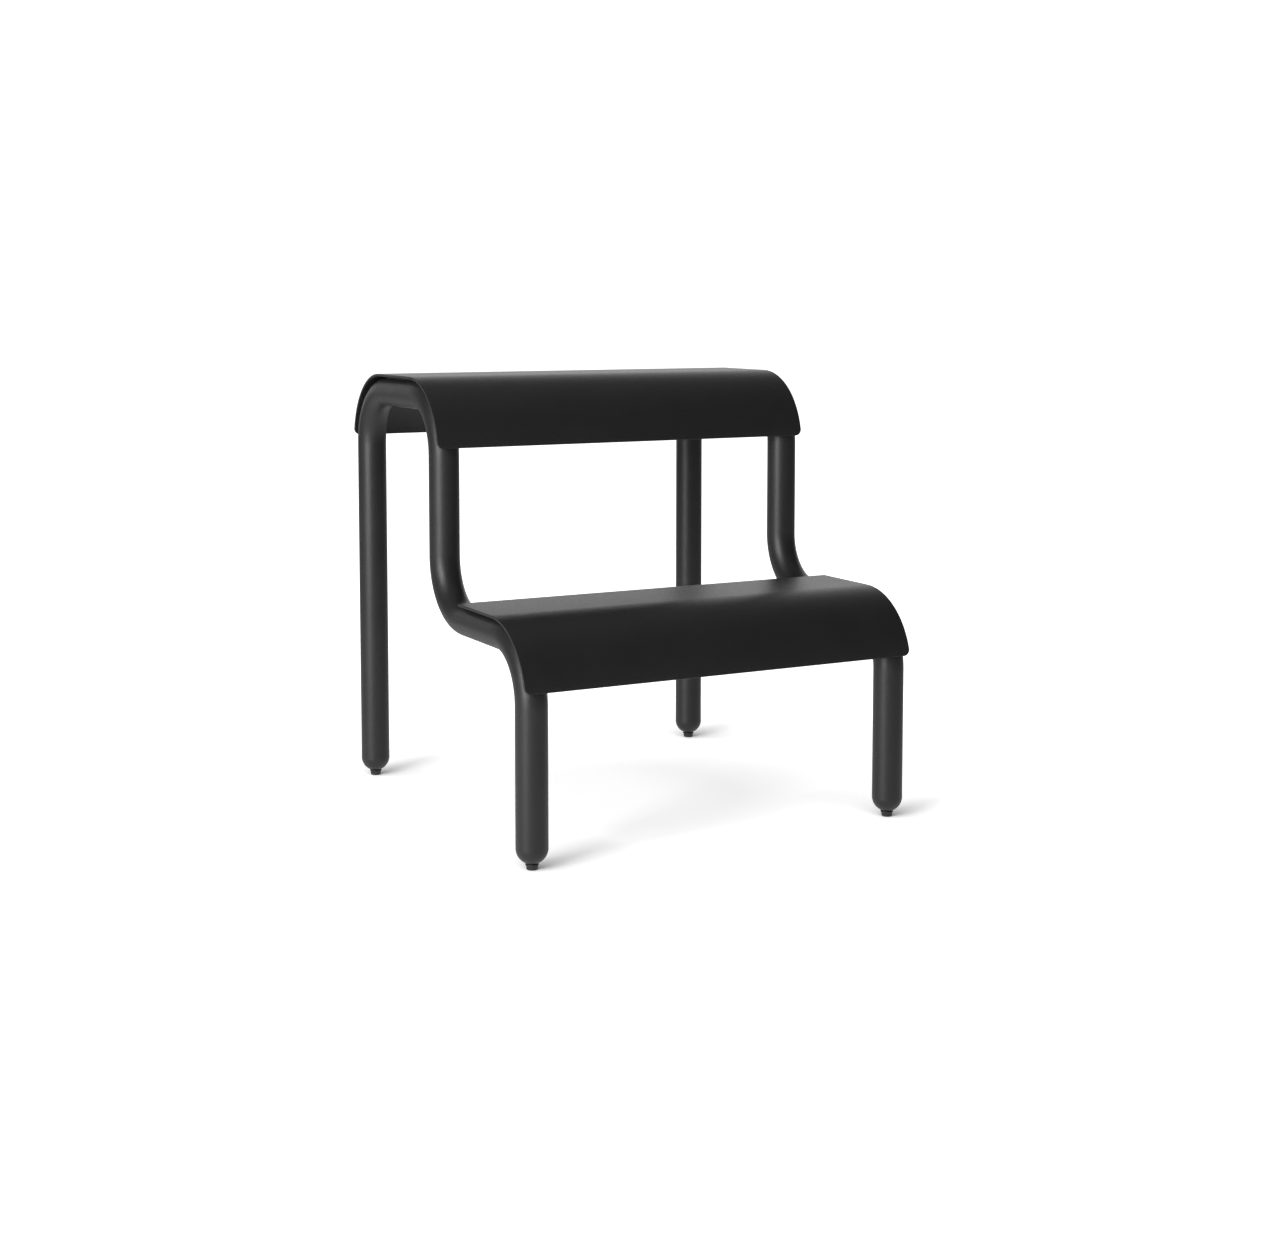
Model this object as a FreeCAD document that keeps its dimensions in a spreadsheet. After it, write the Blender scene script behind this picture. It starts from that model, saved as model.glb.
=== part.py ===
"""Two-step stool: two bent steel tube side frames joined by two bent sheet-steel treads.

The stool stands with +Z up and its front, the low step, towards -Y. The origin is on the floor under
its centre, and the uprights stand in the XZ plane. Left is -X and right is +X. Each side frame is one
tube: a back leg, an upper run, an upright, a lower run and a front leg. The treads lie on the runs, over
rubber saddle pads. Countersunk screws hold them from below: they go up through the tube and a spacer
sleeve into a boss welded under the tread. Each leg ends in a domed cap with a threaded bush, and a
levelling glide screws out of the bush by up to 5 mm. All sizes are in millimetres.
"""

import FreeCAD, Part
import Sketcher
import os
import re

# name: (value in millimetres, or in degrees where that is said, what it measures)
DIMENSIONS = {
    "frame_spacing": (390, "between the centre planes of the side frames"),
    "leg_spacing": (200, "from the back leg to the upright, and from there to the front leg"),
    "upper_run": (418, "height of the upper run's centreline"),
    "lower_run": (206, "height of the lower run's centreline"),
    "bend": (57, "centreline radius of every bend"),
    "tube_outside": (15, "radius of the tube"),
    "tube_wall": (2, "wall of the tube"),
    "tread_width": (418, "treads, from end to end"),
    "sheet": (2.5, "thickness of the treads' steel"),
    "saddle": (1, "between the top of the tube and the sheet"),
    "upper_short": (6, "degrees of each upper bend that the upper tread stops short of"),
    "lower_short": (11, "degrees of the front bend that the lower tread stops short of"),
    "lower_back": (64, "from the upright's centreline to the lower tread's back edge"),
    "skirt_corner": (7, "radius of the skirts' corners"),
    "back_corner": (2, "radius of the lower tread's back corners"),
    "sheet_round": (0.6, "rounding of the sheet's edges"),
    "dome_centre": (20, "height of the centre of the domed leg ends"),
    "dome_flat": (6.5, "radius of the flat under the dome"),
    "cap_floor": (9, "height of the cap's inner floor"),
    "cap_floor_outside": (7, "radius of the cap's inner floor"),
    "cap_slope_top": (16, "height where the cap's inner floor meets its spigot's bore"),
    "spigot": (6, "length of the cap's spigot, up inside the tube"),
    "spigot_wall": (2, "wall of the spigot"),
    "cap_hole": (4.4, "radius of the hole in the cap's floor"),
    "bush_outside": (6.7, "radius of the threaded bush"),
    "bush_length": (10, "length of the threaded bush"),
    "stud_outside": (4, "radius of the glide's stud"),
    "stud_top": (26, "height of the stud's upper end"),
    "stud_bottom": (2.6, "height of the stud's lower end"),
    "stud_head": (4.7, "radius of the stud's flange"),
    "stud_flange": (1.1, "thickness of the stud's flange"),
    "stud_bevel": (0.8, "bevel of the stud's upper end"),
    "slack": (0.05, "clearance of the stud in its bush and its glide"),
    "glide_top": (5.7, "height of the glide's upper face"),
    "glide_wide": (6.3, "radius of the glide at its top"),
    "glide_narrow": (5.3, "radius of the glide above its rounded foot"),
    "glide_round": (1.2, "rounding of the glide's foot"),
    "glide_lip": (0.5, "bevel of the glide's upper edge"),
    "upper_fixing": (100, "from the upright to the middle of the upper run's screws"),
    "lower_fixing": (107, "from the upright to the middle of the lower run's screws"),
    "screw_pitch": (40, "between the two screws of a run"),
    "boss_outside": (4.5, "radius of the threaded boss under the tread"),
    "boss_length": (7, "length of the threaded boss"),
    "boss_gap": (0.3, "clearance around the boss"),
    "screw_outside": (2.5, "radius of the screw"),
    "screw_head": (5, "radius of the screw's countersunk head"),
    "screw_sink": (0.8, "from the tube's lowest line up to the face of the screw's head"),
    "screw_end": (1, "from the screw's end to the sheet"),
    "head_gap": (0.1, "clearance of the head in its countersink"),
    "socket_flat": (1.5, "half the width across the flats of the screw's hexagon socket"),
    "socket_deep": (1.8, "depth of the hexagon socket"),
    "sleeve_outside": (4.4, "radius of the spacer sleeve"),
    "sleeve_bore": (3.5, "radius of the spacer sleeve's bore"),
    "saddle_half_width": (6, "half the width of the saddle pad"),
    "upper_saddle": (78, "length of the upper saddle pads"),
    "lower_saddle": (68, "length of the lower saddle pads"),
}
SIDES = {"left": -1, "right": 1}
LEGS = {"back": 1, "front": -1}
# run: (height, direction of its screws from the upright, their distance from it, length of its saddle pad)
RUNS = {
    "upper": ("upper_run", 1, "upper_fixing", "upper_saddle"),
    "lower": ("lower_run", -1, "lower_fixing", "lower_saddle"),
}
TUBE_INSIDE = "(tube_outside - tube_wall)"
SHEET_INSIDE = "(tube_outside + saddle)"
SHEET_OUTSIDE = "(tube_outside + saddle + sheet)"
# Half of the angle between two corners of a hexagon, in degrees.
HALF_SECTOR = 30
FULL_TURN = 360
# Lengths and heights that differ by less than this are the same.
TINY = 1e-6
# An edge is sharp where the cosine between its two faces' normals is less than this.
SHARP_COSINE = 0.5
# How a sketch names its own axes and origin, and how it names the centre of a circle.
SKETCH_X_AXIS = -1
SKETCH_Y_AXIS = -2
SKETCH_ORIGIN = (-1, 1)
CENTRE = 3

document = FreeCAD.newDocument("two_step_stool")
sheet = document.addObject("Spreadsheet::Sheet", "dimensions")
for row, (alias, (value, meaning)) in enumerate(DIMENSIONS.items(), start=1):
    sheet.set(f"A{row}", meaning)
    sheet.set(f"B{row}", str(value))
    sheet.setAlias(f"B{row}", alias)
document.recompute()
parts = []


def cell(formula):
    """A formula of dimension names, with each name reading its cell of the sheet."""
    names = "|".join(sorted(DIMENSIONS, key=len, reverse=True))
    return re.sub(rf"\b({names})\b", r"dimensions.\1", formula)


def size_of(formula):
    """The value of a formula of dimension names."""
    return float(sheet.evalExpression(cell(formula)))


def bind(thing, **properties):
    """Binds an object's properties to formulas. A double underscore stands for a dot."""
    for name, formula in properties.items():
        thing.setExpression(name.replace("__", "."), cell(formula))


def new_body(label, along_x="0", along_y="0", up="0"):
    """A new body, which becomes a sub-part, placed by three formulas."""
    body = document.addObject("PartDesign::Body", label)
    body.Label = label
    body.AllowCompound = True
    bind(body, Placement__Base__x=along_x, Placement__Base__y=along_y, Placement__Base__z=up)
    parts.append(body)
    return body


def origin_of(body, role):
    """One of a body's own origin planes or axes."""
    return next(item for item in body.Origin.OriginFeatures if item.Role == role)


def new_sketch(body, role, name):
    """An empty sketch on one of the body's origin planes."""
    sketch = body.newObject("Sketcher::SketchObject", name)
    sketch.AttachmentSupport = [(origin_of(body, role), "")]
    sketch.MapMode = "FlatFace"
    return sketch


def hold(sketch, kind, targets, formula):
    """Adds a sizing constraint that follows a formula."""
    index = sketch.addConstraint(Sketcher.Constraint(kind, *targets, size_of(formula)))
    sketch.setExpression(f"Constraints[{index}]", cell(formula))


def hold_point(sketch, piece, end, along, up):
    """Holds one end of a line or arc at two formulas, measured from the sketch's origin."""
    for kind, axis, formula in (("DistanceX", SKETCH_Y_AXIS, along), ("DistanceY", SKETCH_X_AXIS, up)):
        if formula == "0":
            sketch.addConstraint(Sketcher.Constraint("PointOnObject", piece, end, axis))
        else:
            hold(sketch, kind, (*SKETCH_ORIGIN, piece, end), formula)


def draw(sketch, corners, closed=True):
    """Draws an outline through its corners and holds each of them.

    A corner is (along, up), where a straight line starts, or (along, up, centre along, centre up, radius),
    where an arc starts. Every entry is a formula.
    """
    points = [FreeCAD.Vector(size_of(corner[0]), size_of(corner[1]), 0) for corner in corners]
    count = len(corners) if closed else len(corners) - 1
    for piece in range(count):
        start, end, corner = points[piece], points[(piece + 1) % len(points)], corners[piece]
        if len(corner) == 2:
            sketch.addGeometry(Part.LineSegment(start, end))
        else:
            centre = FreeCAD.Vector(size_of(corner[2]), size_of(corner[3]), 0)
            radius = size_of(corner[4])
            middle = centre + (start + end - centre * 2).normalize() * radius
            sketch.addGeometry(Part.Arc(start, middle, end))
        if piece > 0:
            join_ends(sketch, piece - 1, piece, start)
    if closed:
        join_ends(sketch, count - 1, 0, points[0])
    for piece in range(count):
        hold_point(sketch, piece, end_at(sketch, piece, points[piece]), *corners[piece][:2])
        if len(corners[piece]) > 2:
            hold(sketch, "Radius", (piece,), corners[piece][4])
    if not closed:
        hold_point(sketch, count - 1, end_at(sketch, count - 1, points[-1]), *corners[-1][:2])


def draw_circle(sketch, up, radius):
    """Draws a circle whose centre is above or below the sketch's origin."""
    centre = FreeCAD.Vector(0, size_of(up), 0)
    circle = sketch.addGeometry(Part.Circle(centre, FreeCAD.Vector(0, 0, 1), size_of(radius)))
    hold(sketch, "Radius", (circle,), radius)
    hold_point(sketch, circle, CENTRE, "0", up)


def end_at(sketch, piece, place):
    """Which end of a line or arc, 1 or 2, lies at a place."""
    return min((1, 2), key=lambda end: sketch.getPoint(piece, end).distanceToPoint(place))


def join_ends(sketch, first, second, place):
    """Joins two neighbouring lines or arcs where they meet."""
    ends = (first, end_at(sketch, first, place), second, end_at(sketch, second, place))
    sketch.addConstraint(Sketcher.Constraint("Coincident", *ends))


def add_feature(body, kind, name, sketch, **settings):
    """Adds a sketch-based feature to a body."""
    feature = body.newObject(f"PartDesign::{kind}", name)
    feature.Profile = sketch
    sketch.Visibility = False
    for setting, value in settings.items():
        setattr(feature, setting, value)
    return feature


def turn(body, name, corners):
    """Turns an outline of (radius, height) corners about the body's Z axis into a solid."""
    sketch = new_sketch(body, "XZ_Plane", f"{name}_section")
    draw(sketch, corners)
    settings = {"ReferenceAxis": (sketch, ["V_Axis"]), "Angle": FULL_TURN}
    return add_feature(body, "Revolution", name, sketch, **settings)


def repeat_for_screws(body, feature):
    """Repeats a feature for the second screw of a run."""
    pattern = body.newObject("PartDesign::LinearPattern", f"{feature.Name}_pair")
    pattern.Originals = [feature]
    pattern.Direction = (origin_of(body, "Y_Axis"), [""])
    pattern.Occurrences = 2
    bind(pattern, Length="screw_pitch")
    body.Tip = pattern


def make_frame_tube(side, sign):
    """One side frame's tube, drawn along its centreline from the back leg to the front leg."""
    body = new_body(f"{side}_frame_tube", along_x=f"{sign} * frame_spacing / 2")
    path = new_sketch(body, "YZ_Plane", f"{side}_centreline")
    upper_centre = "upper_run - bend"
    lower_top = "lower_run + bend"
    draw(path, [
        ("leg_spacing", "dome_centre"),
        ("leg_spacing", upper_centre, "leg_spacing - bend", upper_centre, "bend"),
        ("leg_spacing - bend", "upper_run"),
        ("bend", "upper_run", "bend", upper_centre, "bend"),
        ("0", upper_centre),
        ("0", lower_top, "-1 * bend", lower_top, "bend"),
        ("-1 * bend", "lower_run"),
        ("bend - leg_spacing", "lower_run", "bend - leg_spacing", "lower_run - bend", "bend"),
        ("-1 * leg_spacing", "lower_run - bend"),
        ("-1 * leg_spacing", "dome_centre"),
    ], closed=False)
    ring = new_sketch(body, "XY_Plane", f"{side}_ring")
    bind(ring, AttachmentOffset__Base__z="dome_centre")
    for radius in ("tube_outside", TUBE_INSIDE):
        draw_circle(ring, "leg_spacing", radius)
    pipe = add_feature(body, "AdditivePipe", f"{side}_tube", ring, Spine=path)
    pipe.SpineTangent = False
    for run, (height, direction, distance, _) in RUNS.items():
        cut_screw_holes(body, f"{side}_{run}_screw_hole", height, f"{direction} * {distance}")
    return body


def cut_screw_holes(body, name, height, middle):
    """Cuts a run's two stepped holes, open for the boss above and countersunk for the screw below."""
    place = f"{middle} - screw_pitch / 2"
    bottom, top = f"{height} - {SHEET_INSIDE}", f"{height} + {SHEET_INSIDE}"
    head_face = f"{height} - ( tube_outside - screw_sink )"
    head_top = f"{head_face} + screw_head - screw_outside"
    boss, neck, head = (f"{place} + {outside}" for outside in (
        "boss_outside + boss_gap", "screw_outside + head_gap", "screw_head + head_gap"))
    sketch = new_sketch(body, "YZ_Plane", f"{name}_section")
    draw(sketch, [
        (place, top),
        (boss, top),
        (boss, height),
        (neck, height),
        (neck, head_top),
        (head, head_face),
        (head, bottom),
        (place, bottom),
    ])
    start, end = (FreeCAD.Vector(size_of(place), size_of(level), 0) for level in (bottom, top))
    axis = sketch.addGeometry(Part.LineSegment(start, end), True)
    for point, level in enumerate((bottom, top), start=1):
        hold_point(sketch, axis, point, place, level)
    settings = {"ReferenceAxis": (sketch, ["Axis0"]), "Angle": FULL_TURN}
    repeat_for_screws(body, add_feature(body, "Groove", name, sketch, **settings))


def finish_sheet(body, corners_below):
    """Rounds a tread's corners, with a radius for those below each height, and then all its edges."""
    document.recompute()
    for radius, height in corners_below.items():
        corners = [
            f"Edge{index}" for index, edge in enumerate(body.Tip.Shape.Edges, start=1)
            if abs(edge.Length - size_of("sheet")) < TINY and edge.BoundBox.ZMax < size_of(height) + TINY
        ]
        round_edges(body, f"{body.Label}_{radius}", corners, radius)
    shape = body.Tip.Shape
    sharp = [f"Edge{index}" for index, edge in enumerate(shape.Edges, start=1) if is_sharp(shape, edge)]
    round_edges(body, f"{body.Label}_edges", sharp, "sheet_round")


def round_edges(body, name, edges, radius):
    """Rounds named edges of the body's last feature."""
    fillet = body.newObject("PartDesign::Fillet", name)
    fillet.Base = (body.Group[-2], edges)
    bind(fillet, Radius=radius)
    document.recompute()


def is_sharp(shape, edge):
    """Whether the two faces beside an edge meet at an angle."""
    middle = edge.valueAt((edge.FirstParameter + edge.LastParameter) / 2)
    faces = shape.ancestorsOfType(edge, Part.Face)
    normals = [face.normalAt(*face.Surface.parameter(middle)) for face in faces]
    return len(normals) == 2 and abs(normals[0].dot(normals[1])) < SHARP_COSINE


def make_upper_tread():
    """The upper tread, bent down over both bends of the upper runs."""
    body = new_body("upper_tread")
    centre = "upper_run - bend"
    back_centre = "leg_spacing - bend"
    corners = []
    for side, reach in (("outer", SHEET_OUTSIDE), ("inner", SHEET_INSIDE)):
        radius = f"(bend + {reach})"
        outward, upward = f"{radius} * cos(upper_short)", f"{radius} * sin(upper_short)"
        curve = [
            (f"{back_centre} + {outward}", f"{centre} + {upward}", back_centre, centre, radius),
            (back_centre, f"upper_run + {reach}"),
            ("bend", f"upper_run + {reach}", "bend", centre, radius),
            (f"bend - {outward}", f"{centre} + {upward}"),
        ]
        corners += curve if side == "outer" else turn_back(curve)
    pad_sheet(body, corners)
    finish_sheet(body, {"skirt_corner": "upper_run"})


def make_lower_tread():
    """The lower tread, flat behind and bent down over the front bends of the lower runs."""
    body = new_body("lower_tread")
    centre = "lower_run - bend"
    front_centre = "bend - leg_spacing"
    corners = []
    for side, reach in (("outer", SHEET_OUTSIDE), ("inner", SHEET_INSIDE)):
        radius = f"(bend + {reach})"
        outward, upward = f"{radius} * cos(lower_short)", f"{radius} * sin(lower_short)"
        curve = [
            ("-1 * lower_back", f"lower_run + {reach}"),
            (front_centre, f"lower_run + {reach}", front_centre, centre, radius),
            (f"{front_centre} - {outward}", f"{centre} + {upward}"),
        ]
        corners += curve if side == "outer" else turn_back(curve)
    pad_sheet(body, corners)
    finish_sheet(body, {"skirt_corner": "lower_run", "back_corner": f"lower_run + {SHEET_OUTSIDE}"})


def turn_back(curve):
    """The same curve drawn from its other end."""
    arcs = [corner[2:] for corner in curve[-2::-1]] + [()]
    return [(*corner[:2], *arc) for corner, arc in zip(curve[::-1], arcs)]


def pad_sheet(body, corners):
    """Pads a tread's section to its width, evenly about the middle."""
    section = new_sketch(body, "YZ_Plane", f"{body.Label}_section")
    draw(section, corners)
    pad = add_feature(body, "Pad", f"{body.Label}_sheet", section, Midplane=True)
    bind(pad, Length="tread_width")


def make_leg_end(side, sign, leg, direction):
    """A leg's domed cap, threaded bush, stud and glide, which share the leg's axis."""
    name = f"{leg}_{side}"
    place = {"along_x": f"{sign} * frame_spacing / 2", "along_y": f"{direction} * leg_spacing"}
    dome_bottom = "dome_centre - sqrt( tube_outside ^ 2 - dome_flat ^ 2 )"
    bore = f"{TUBE_INSIDE} - spigot_wall"
    cap = new_body(f"{name}_leg_cap", **place)
    turn(cap, f"{name}_cap", [
        ("cap_hole", dome_bottom),
        ("dome_flat", dome_bottom, "0", "dome_centre", "tube_outside"),
        ("tube_outside", "dome_centre"),
        (TUBE_INSIDE, "dome_centre"),
        (TUBE_INSIDE, "dome_centre + spigot"),
        (bore, "dome_centre + spigot"),
        (bore, "cap_slope_top"),
        ("cap_floor_outside", "cap_floor"),
        ("cap_hole", "cap_floor"),
    ])
    bush = new_body(f"{name}_glide_bush", **place)
    turn(bush, f"{name}_bush", [
        ("stud_outside + slack", "cap_floor"),
        ("bush_outside", "cap_floor"),
        ("bush_outside", "cap_floor + bush_length"),
        ("stud_outside + slack", "cap_floor + bush_length"),
    ])
    stud = new_body(f"{name}_glide_stud", **place)
    turn(stud, f"{name}_stud", [
        ("0", "stud_bottom + slack"),
        ("stud_head", "stud_bottom + slack"),
        ("stud_head", "stud_bottom + slack + stud_flange"),
        ("stud_outside", "stud_bottom + slack + stud_flange"),
        ("stud_outside", "stud_top - stud_bevel"),
        ("stud_outside - stud_bevel", "stud_top"),
        ("0", "stud_top"),
    ])
    glide = new_body(f"{name}_glide", **place)
    inner_foot = "glide_narrow - glide_round"
    flange_top = "stud_bottom + stud_flange + 2 * slack"
    turn(glide, f"{name}_glide_pad", [
        ("0", "0"),
        (inner_foot, "0", inner_foot, "glide_round", "glide_round"),
        ("glide_narrow", "glide_round"),
        ("glide_wide", "glide_top - glide_lip"),
        ("glide_wide - glide_lip", "glide_top"),
        ("stud_outside + slack", "glide_top"),
        ("stud_outside + slack", flange_top),
        ("stud_head + slack", flange_top),
        ("stud_head + slack", "stud_bottom"),
        ("0", "stud_bottom"),
    ])


def make_fixings(side, sign, run):
    """A run's saddle pad, bosses, sleeves and screws, with heights from the run's centreline."""
    height, direction, distance, pad_length = RUNS[run]
    name = f"{run}_{side}"
    place = {"along_x": f"{sign} * frame_spacing / 2", "up": height}
    middle = f"{direction} * {distance}"
    first = f"{middle} - screw_pitch / 2"
    boss_bottom = f"{SHEET_INSIDE} - boss_length"
    make_saddle_pad(new_body(f"{name}_saddle_pad", along_y=middle, **place), pad_length)
    boss = new_body(f"{name}_tread_bosses", along_y=first, **place)
    repeat_for_screws(boss, turn(boss, f"{name}_boss", [
        ("screw_outside", boss_bottom),
        ("boss_outside", boss_bottom),
        ("boss_outside", SHEET_INSIDE),
        ("screw_outside", SHEET_INSIDE),
    ]))
    sleeve_bottom = f"-1 * sqrt( {TUBE_INSIDE} ^ 2 - sleeve_outside ^ 2 )"
    sleeve = new_body(f"{name}_spacer_sleeves", along_y=first, **place)
    repeat_for_screws(sleeve, turn(sleeve, f"{name}_sleeve", [
        ("sleeve_bore", sleeve_bottom),
        ("sleeve_outside", sleeve_bottom),
        ("sleeve_outside", boss_bottom),
        ("sleeve_bore", boss_bottom),
    ]))
    make_screws(new_body(f"{name}_tread_screws", along_y=first, **place))


def make_saddle_pad(body, pad_length):
    """A pad between the tube's round top and the flat sheet, with a hole for each boss."""
    name = body.Label
    edge_height = "sqrt( tube_outside ^ 2 - saddle_half_width ^ 2 )"
    section = new_sketch(body, "XZ_Plane", f"{name}_section")
    draw(section, [
        ("saddle_half_width", edge_height),
        ("saddle_half_width", SHEET_INSIDE),
        ("-1 * saddle_half_width", SHEET_INSIDE),
        ("-1 * saddle_half_width", edge_height, "0", "0", "tube_outside"),
    ])
    pad = add_feature(body, "Pad", f"{name}_strip", section, Midplane=True)
    bind(pad, Length=pad_length)
    holes = new_sketch(body, "XY_Plane", f"{name}_hole_circles")
    for place in ("screw_pitch / 2", "-1 * screw_pitch / 2"):
        draw_circle(holes, place, "boss_outside + boss_gap")
    add_feature(body, "Pocket", f"{name}_holes", holes, Type="ThroughAll", Midplane=True)


def make_screws(body):
    """A run's two countersunk screws, with a hexagon socket in each head."""
    name = body.Label
    head_face = "-1 * ( tube_outside - screw_sink )"
    head_depth = "screw_head - screw_outside"
    screw_top = f"{SHEET_INSIDE} - screw_end"
    shank = turn(body, f"{name}_shank", [
        ("0", head_face),
        ("screw_head", head_face),
        ("screw_outside", f"{head_face} + {head_depth}"),
        ("screw_outside", screw_top),
        ("0", screw_top),
    ])
    repeat_for_screws(body, shank)
    socket = new_sketch(body, "XY_Plane", f"{name}_socket")
    bind(socket, AttachmentOffset__Base__z=head_face)
    corner = f"socket_flat / cos( {HALF_SECTOR} )"
    half_side = f"socket_flat * tan( {HALF_SECTOR} )"
    draw(socket, [
        (corner, "0"),
        (half_side, "socket_flat"),
        (f"-1 * {half_side}", "socket_flat"),
        (f"-1 * {corner}", "0"),
        (f"-1 * {half_side}", "-1 * socket_flat"),
        (half_side, "-1 * socket_flat"),
    ])
    cut = add_feature(body, "Pocket", f"{name}_socket_cut", socket, Reversed=True)
    bind(cut, Length="socket_deep")
    repeat_for_screws(body, cut)


def check_and_write():
    """Checks every object and sub-part, then writes each sub-part to its own file."""
    document.recompute()
    failed = [item.Name for item in document.Objects if {"Invalid", "Error"} & set(item.State)]
    failed += [part.Label for part in parts if part.Shape.isNull() or not part.Shape.isValid()]
    if failed:
        raise RuntimeError(f"these objects failed: {', '.join(failed)}")
    os.makedirs("parts", exist_ok=True)
    for part in parts:
        part.Shape.exportStep(f"parts/{part.Label}.step")
        solids, volume = len(part.Shape.Solids), part.Shape.Volume
        print(f"{part.Label}: {solids} solids, {volume:.1f} mm3")


make_upper_tread()
make_lower_tread()
for side, sign in SIDES.items():
    make_frame_tube(side, sign)
    for leg, direction in LEGS.items():
        make_leg_end(side, sign, leg, direction)
    for run in RUNS:
        make_fixings(side, sign, run)
check_and_write()
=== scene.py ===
import math

import bmesh
import bpy
from bpy.props import FloatProperty, FloatVectorProperty, IntProperty, PointerProperty
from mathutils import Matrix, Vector


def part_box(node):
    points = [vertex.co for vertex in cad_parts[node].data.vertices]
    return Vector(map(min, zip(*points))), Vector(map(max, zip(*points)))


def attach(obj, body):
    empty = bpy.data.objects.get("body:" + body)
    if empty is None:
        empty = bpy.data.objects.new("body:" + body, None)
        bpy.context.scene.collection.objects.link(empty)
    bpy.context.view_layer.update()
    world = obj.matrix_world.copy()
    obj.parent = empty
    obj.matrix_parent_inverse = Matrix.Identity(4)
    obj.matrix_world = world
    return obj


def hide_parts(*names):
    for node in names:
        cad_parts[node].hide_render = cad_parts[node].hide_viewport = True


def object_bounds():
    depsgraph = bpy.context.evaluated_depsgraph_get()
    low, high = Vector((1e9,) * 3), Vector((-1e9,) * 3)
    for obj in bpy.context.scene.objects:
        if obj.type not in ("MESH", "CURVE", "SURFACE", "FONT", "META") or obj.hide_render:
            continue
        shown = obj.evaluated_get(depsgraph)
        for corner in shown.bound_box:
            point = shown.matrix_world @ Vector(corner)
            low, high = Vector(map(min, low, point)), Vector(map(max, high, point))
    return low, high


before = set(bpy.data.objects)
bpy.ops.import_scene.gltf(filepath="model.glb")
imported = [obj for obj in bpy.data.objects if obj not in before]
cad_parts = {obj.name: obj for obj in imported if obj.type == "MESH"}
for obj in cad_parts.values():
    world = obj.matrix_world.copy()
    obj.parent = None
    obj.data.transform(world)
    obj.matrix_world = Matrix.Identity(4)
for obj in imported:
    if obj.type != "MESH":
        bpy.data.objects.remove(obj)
CAD_BOX = [list(corner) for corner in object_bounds()]

bl_info = {
    "name": "Two-Step Stool",
    "version": (1, 0, 0),
    "blender": (4, 5, 0),
    "location": "View3D > Sidebar > Stool",
    "description": "Finishes a tube and sheet steel step stool: its coatings, threads, glides and studio",
    "category": "Object",
}

FEET = ("back_left", "back_right", "front_left", "front_right")
RUNS = ("upper_left", "upper_right", "lower_left", "lower_right")
NOISE_DETAIL, SOFT_DETAIL = 4.0, 2.0
# Middle part of a noise's values, and how far rounded and plain normals agree: on flat ground, at edges.
NOISE_SPREAD, EDGE_AGREEMENT = (0.3, 0.7), (0.995, 0.8)
# Samples of the floor's shade at the feet, and the heading of the lamp that it falls away from.
CONTACT_SAMPLES = 12
LAMP_HEADING = (-0.76, -0.5, 0.42)
# Shape of a thread's groove: the phase of its middle, and the slope of its flanks.
GROOVE_PHASE, GROOVE_SLOPE = 0.5, 2.3
# Places of the colour sockets among a mix node's sockets, which share their names with the other kinds.
MIX_COLOUR_INPUTS, MIX_COLOUR_OUTPUT = (0, 6, 7), 2
RIB_SIDES = 8
ROUND_STEPS = 6
STUD_SMOOTH, SCREW_SMOOTH, FOOT_SMOOTH = (math.radians(angle) for angle in (40, 35, 50))


# ---------------------------------------------------------------- settings


class CoatSettings(bpy.types.PropertyGroup):
    """Powder coat on the frames and treads"""

    grain: FloatProperty(
        name="Grain", description="Size of the coat's fine texture", default=0.0013, unit="LENGTH"
    )
    grain_depth: FloatProperty(
        name="Grain Depth", description="Depth of the fine texture", default=0.00011, unit="LENGTH"
    )
    frame_roughness: FloatProperty(
        name="Frame Roughness", description="Roughness of the tubes' coat", default=0.44, subtype="FACTOR"
    )
    tread_roughness: FloatProperty(
        name="Tread Roughness", description="Roughness of the treads' coat", default=0.46, subtype="FACTOR"
    )
    shade: FloatProperty(
        name="Shade", description="Brightness of the black pigment", default=0.012, subtype="FACTOR"
    )


class StudSettings(bpy.types.PropertyGroup):
    """Threaded studs of the glides"""

    pitch: FloatProperty(name="Pitch", description="Height of one turn", default=0.00125, unit="LENGTH")
    depth: FloatProperty(
        name="Depth", description="Depth of the thread under its crest", default=0.00072, unit="LENGTH"
    )
    flange: FloatProperty(name="Flange", description="Height of the flange", default=0.0011, unit="LENGTH")
    flange_step: FloatProperty(
        name="Flange Step", description="Step from the flange in to the thread",
        default=0.0007, unit="LENGTH",
    )
    bevel: FloatProperty(name="Bevel", description="Bevel at the stud's end", default=0.0008, unit="LENGTH")
    segments: IntProperty(name="Segments", description="Sides of the stud", default=40, min=12)
    rings: IntProperty(name="Rings", description="Rings of points in each turn", default=8, min=4)


class ScrewSettings(bpy.types.PropertyGroup):
    """Countersunk screws that hold the treads"""

    pitch: FloatProperty(name="Pitch", description="Height of one turn", default=0.0008, unit="LENGTH")
    depth: FloatProperty(
        name="Depth", description="Depth of the thread under its crest", default=0.00046, unit="LENGTH"
    )
    head: FloatProperty(name="Head", description="Height of the cone", default=0.0025, unit="LENGTH")
    rim: FloatProperty(name="Rim", description="Rounding of the head's rim", default=0.0002, unit="LENGTH")
    socket: FloatProperty(
        name="Socket", description="Width of the hexagon socket across its flats",
        default=0.003, unit="LENGTH",
    )
    socket_depth: FloatProperty(
        name="Socket Depth", description="Depth of the socket", default=0.0018, unit="LENGTH"
    )
    bevel: FloatProperty(name="Bevel", description="Bevel at the screw's end", default=0.0005, unit="LENGTH")
    segments: IntProperty(name="Segments", description="Sides of the screw", default=24, min=12)
    rings: IntProperty(name="Rings", description="Rings of points in each turn", default=5, min=4)
    count: IntProperty(name="Count", description="Screws in each run", default=2, min=2)


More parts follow.
